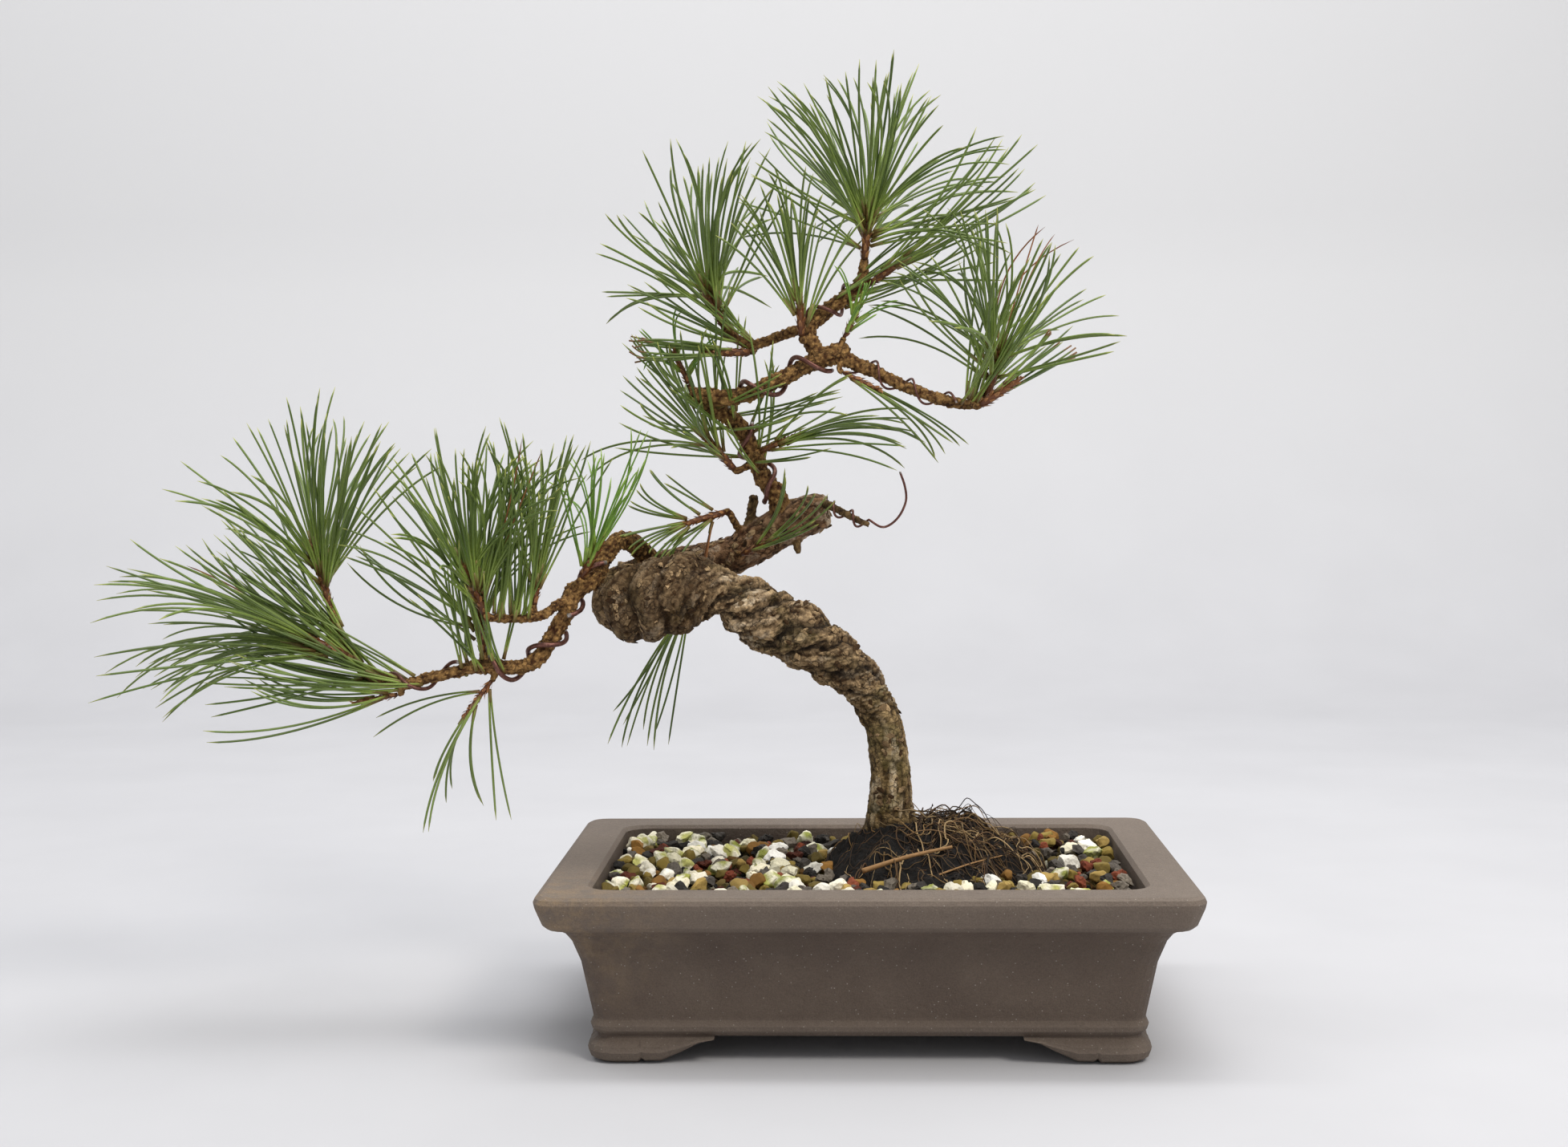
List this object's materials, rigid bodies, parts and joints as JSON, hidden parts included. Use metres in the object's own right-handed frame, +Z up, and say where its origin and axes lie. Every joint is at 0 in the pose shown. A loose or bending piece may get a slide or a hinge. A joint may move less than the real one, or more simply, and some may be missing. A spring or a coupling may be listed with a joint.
{
  "type": "potted pine bonsai",
  "caption": "Small bonsai pine with a trunk that turns back on itself, wired branches and tufts of long needles, in a rectangular unglazed pot with gravel; a table or shelf plant.",
  "frame": {"origin": "under the middle of the whole object's box, on the surface that the pot's feet stand on; the pot's own middle is 91.7 mm along +X from it", "axes": "+Z up, -Y towards the tree's front (the viewing side), +X to the right along the pot's long side"},
  "size_m": [0.4374, 0.178, 0.3991],
  "materials": {
    "unglazed_clay": "matte, unglazed, brown-grey",
    "pine_bark": "matte, flaky bark",
    "pine_needle": "satin",
    "young_needle": "satin",
    "training_wire": "satin, anodised brown",
    "root_mat": "matte, damp peat, moss and fine roots",
    "growing_mix": "matte",
    "gravel": "matte",
    "pumice": "matte",
    "lava": "matte",
    "clay_granule": "matte",
    "screen_plastic": "matte",
    "clip_wire": "satin"
  },
  "bodies": {
    "root": {"drainage_screen_left": "screen_plastic", "drainage_screen_right": "screen_plastic", "gravel_bed": "gravel", "needles_apex": "pine_needle", "needles_apex_right": "pine_needle", "needles_crown_front": "pine_needle", "needles_crown_left": "pine_needle", "needles_crown_left_low": "pine_needle", "needles_elbow": "young_needle", "needles_fork_green": "young_needle", "needles_fork_under": "pine_needle", "needles_knot_left": "pine_needle", "needles_knot_under": "pine_needle", "needles_knot_upright": "pine_needle", "needles_lower_sweep": "pine_needle", "needles_lower_tip": "pine_needle", "needles_lower_trail": "pine_needle", "needles_return_base": "pine_needle", "needles_return_brush": "pine_needle", "needles_return_left": "pine_needle", "needles_return_right": "pine_needle", "needles_right_low": "pine_needle", "needles_right_tip": "pine_needle", "needles_trunk_back": "pine_needle", "needles_twig_green": "young_needle", "needles_twig_middle": "pine_needle", "pebble_01": "lava", "pebble_02": "clay_granule", "pebble_03": "pumice", "pebble_04": "lava", "pebble_05": "clay_granule", "pebble_06": "pumice", "pebble_07": "lava", "pebble_08": "clay_granule", "pebble_09": "pumice", "pebble_10": "lava", "pebble_11": "clay_granule", "pebble_12": "pumice", "pebble_13": "lava", "pebble_14": "clay_granule", "pebble_15": "pumice", "pebble_16": "lava", "pot": "unglazed_clay", "root_mound": "root_mat", "screen_clip_left": "clip_wire", "screen_clip_right": "clip_wire", "soil_mix": "growing_mix", "tree": "pine_bark", "wire_crown": "training_wire", "wire_lower_branch": "training_wire", "wire_lower_end": "training_wire", "wire_lower_knot": "training_wire", "wire_right_branch": "training_wire", "wire_shoot": "training_wire", "wire_top_branch": "training_wire", "wire_upper_branch": "training_wire"}
  },
  "joints": []
}
